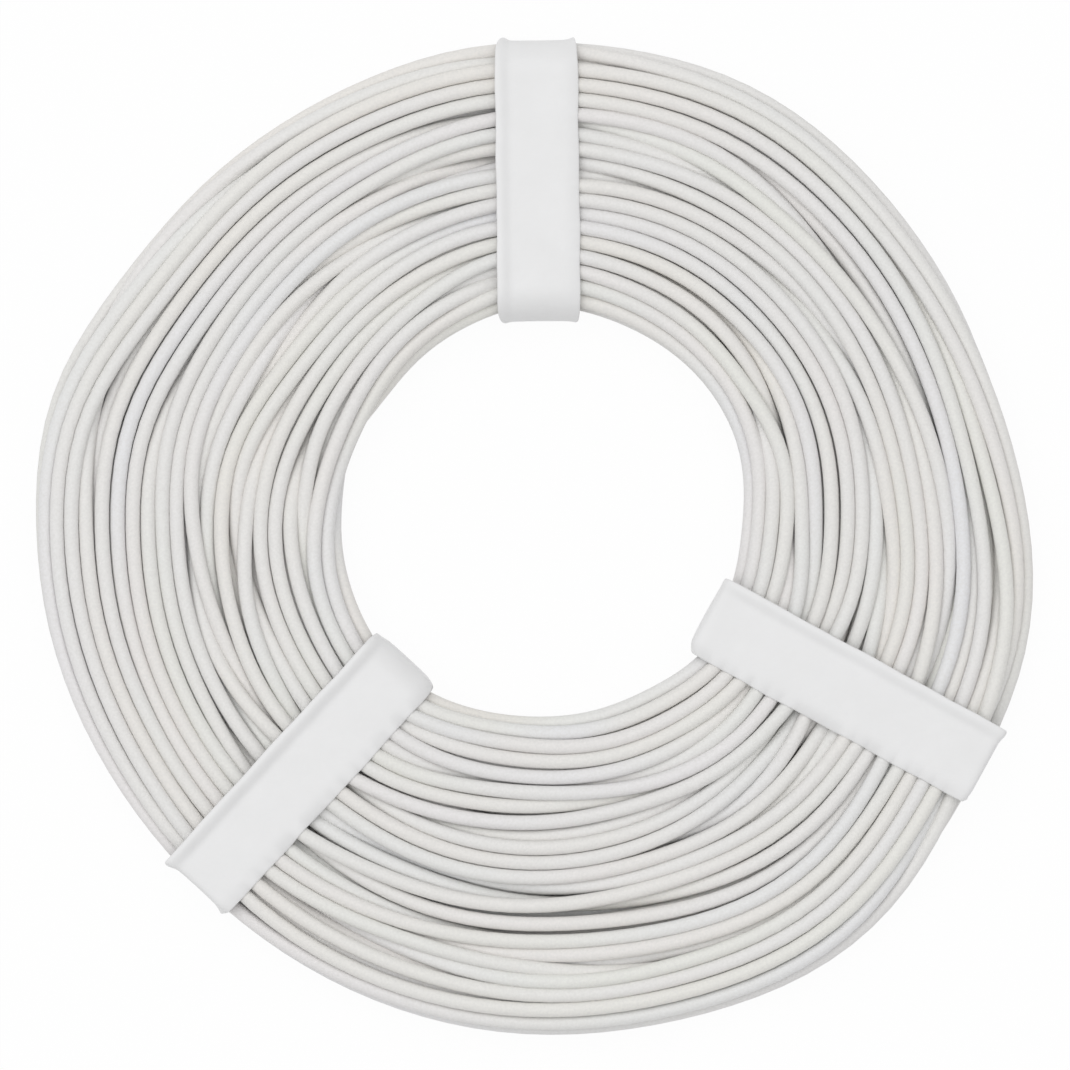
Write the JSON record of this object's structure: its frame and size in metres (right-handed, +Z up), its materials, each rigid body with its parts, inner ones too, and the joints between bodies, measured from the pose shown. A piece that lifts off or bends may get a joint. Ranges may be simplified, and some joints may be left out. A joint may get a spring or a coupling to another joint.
{
  "type": "coil of hookup wire",
  "caption": "Flat ring coil of thin white insulated hookup wire, bound by film bands, to be cut to length for wiring.",
  "frame": {"origin": "centre of the ring, on the surface that the coil lies on", "axes": "+Z up along the coil's axis, +Y towards the band at the top of the picture, +X to its right"},
  "size_m": [0.0684, 0.0688, 0.0043],
  "materials": {
    "wire_insulation": "satin",
    "band_film": "satin"
  },
  "bodies": {
    "root": {"wire_coil": "wire_insulation", "binding_band_top": "band_film", "binding_band_left": "band_film", "binding_band_right": "band_film"}
  },
  "joints": []
}
